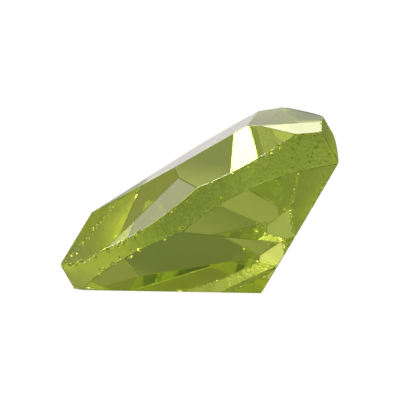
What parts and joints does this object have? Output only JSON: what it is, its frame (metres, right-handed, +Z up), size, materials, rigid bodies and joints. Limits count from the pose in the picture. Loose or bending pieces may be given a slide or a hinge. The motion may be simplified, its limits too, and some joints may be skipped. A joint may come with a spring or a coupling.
{
  "type": "trillion-cut peridot",
  "caption": "Faceted rounded-triangular gemstone in clear olive green, with a flat table, a thick matte girdle and a pointed pavilion, for setting in jewellery.",
  "frame": {"origin": "on the surface the stone lies on, under the centre of its box", "axes": "+Z up from the surface, +Y along the longest reach and away from the side seen in the picture, +X from the low left corner towards the raised right side"},
  "size_m": [0.0062, 0.0068, 0.0041],
  "materials": {
    "crystal": "clear polished crystal with a matte girdle"
  },
  "bodies": {
    "root": {"peridot": "crystal"}
  },
  "joints": []
}
